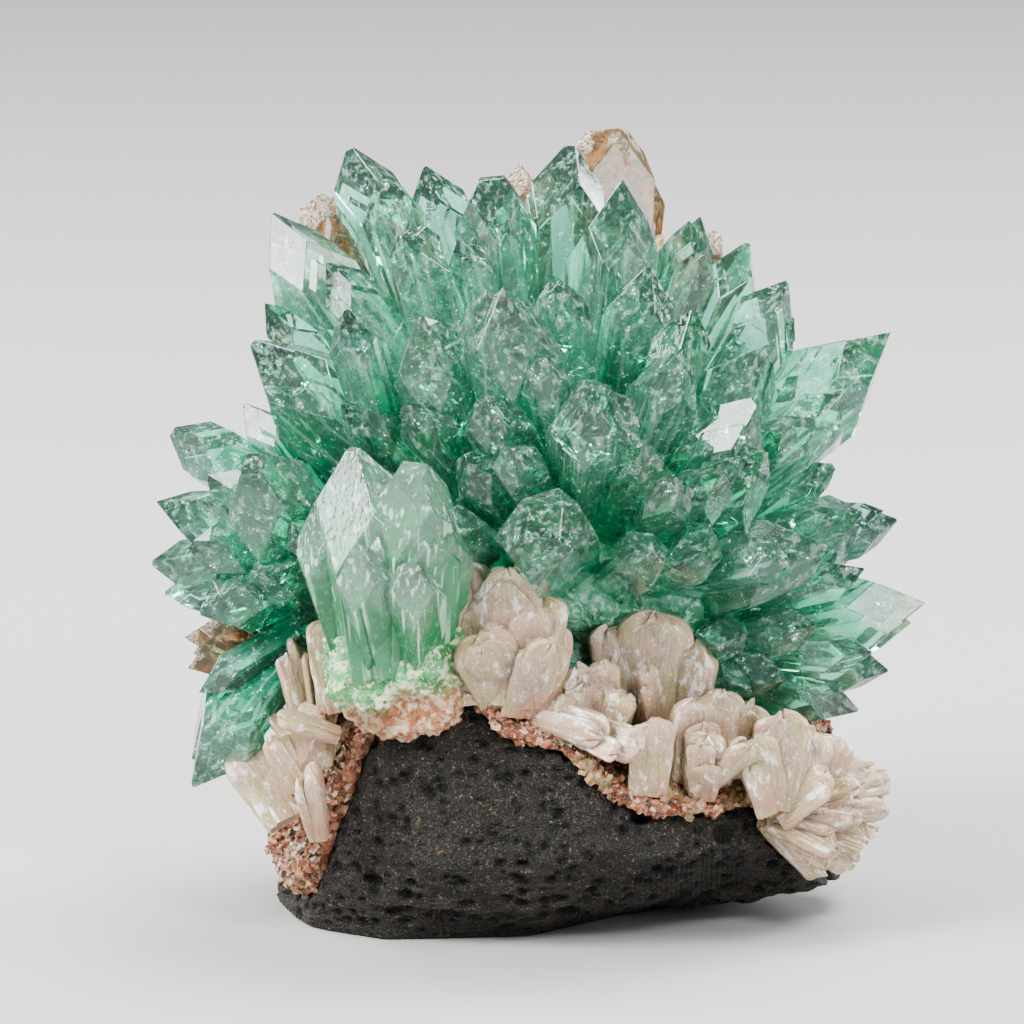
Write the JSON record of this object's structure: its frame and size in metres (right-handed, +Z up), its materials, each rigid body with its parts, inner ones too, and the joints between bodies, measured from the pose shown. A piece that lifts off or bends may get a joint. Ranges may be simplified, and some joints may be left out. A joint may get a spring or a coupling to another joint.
{
  "type": "apophyllite cluster",
  "caption": "Mineral cluster: a radiating spray of green pointed apophyllite crystals with cream stilbite blades on a dark flat-bottomed basalt matrix.",
  "frame": {"origin": "middle of the flat sawn patch under the basalt, on the surface that the cluster rests on", "axes": "+Z up, -Y is the side that the picture shows, +X to its right"},
  "size_m": [0.0768, 0.0692, 0.0769],
  "materials": {
    "basalt": "rough dark basalt with small pits and ochre specks",
    "druse": "salmon and rust coloured crust of tiny glittering grains",
    "apophyllite": "clear sea green crystal, flat glassy faces",
    "milky_apophyllite": "milky pale green crystal with a mossy root",
    "stained_apophyllite": "iron stained brown crystal with rough ends",
    "stilbite": "pearly cream blades with fine lengthwise lines",
    "clear_splinter": "clear white crystal splinter"
  },
  "bodies": {
    "root": {"basalt_matrix": "basalt", "druse_crust": "druse", "apophyllite_main_spray": "apophyllite", "apophyllite_left_spray": "apophyllite", "apophyllite_lower_right_spray": "apophyllite", "apophyllite_lower_left": "apophyllite", "apophyllite_front_column": "milky_apophyllite", "stilbite_centre": "stilbite", "stilbite_right": "stilbite", "stilbite_sheaf": "stilbite", "stilbite_left": "stilbite", "stilbite_back_1": "stilbite", "stilbite_back_2": "stilbite", "stilbite_back_3": "stilbite", "brown_crystals_top": "stained_apophyllite", "brown_crystals_right": "stained_apophyllite", "brown_crystals_middle": "stained_apophyllite", "brown_crystals_left": "stained_apophyllite", "stained_crystals_left": "stained_apophyllite", "white_splinter": "clear_splinter"}
  },
  "joints": []
}
